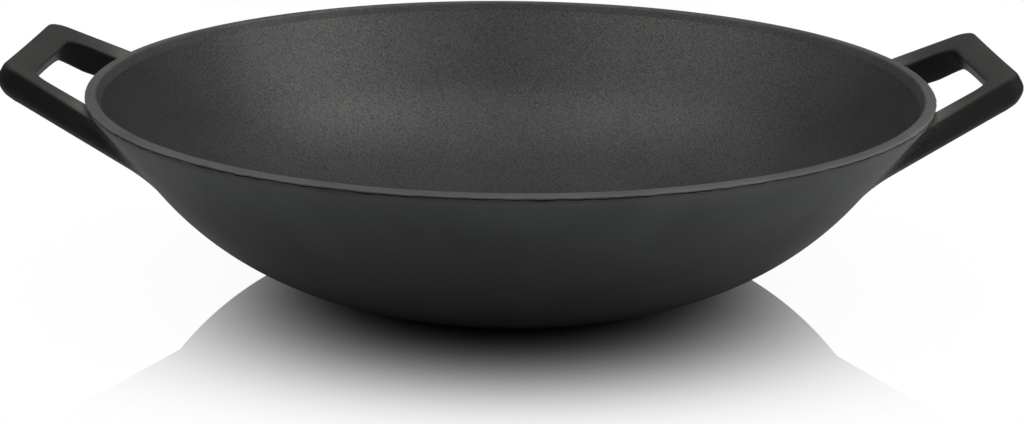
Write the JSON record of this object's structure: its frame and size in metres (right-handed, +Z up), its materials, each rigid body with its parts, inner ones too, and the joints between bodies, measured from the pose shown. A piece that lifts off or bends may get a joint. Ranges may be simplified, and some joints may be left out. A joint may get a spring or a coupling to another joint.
{
  "type": "cast iron wok",
  "caption": "Wide flat-bottomed cast iron wok with a thickened rim and a trapezoid loop handle cast on each side, for stir-frying, deep-frying and braising on a stove.",
  "frame": {"origin": "centre of the flat base, on the surface that the wok stands on", "axes": "+X along the line through both handles, +Y across it, +Z up out of the bowl's mouth"},
  "size_m": [0.4198, 0.36, 0.0997],
  "materials": {
    "base_iron": "matte seasoned iron, slightly worn where it stands",
    "bowl_iron": "black seasoned iron with a fine pebbled casting grain",
    "rim_iron": "ground and seasoned edge, lighter and finer than the bowl",
    "handle_iron": "black seasoned iron, as cast, with lighter rubbed edges"
  },
  "bodies": {
    "root": {"base": "base_iron", "bowl": "bowl_iron", "rim": "rim_iron", "left_handle": "handle_iron", "right_handle": "handle_iron"}
  },
  "joints": []
}
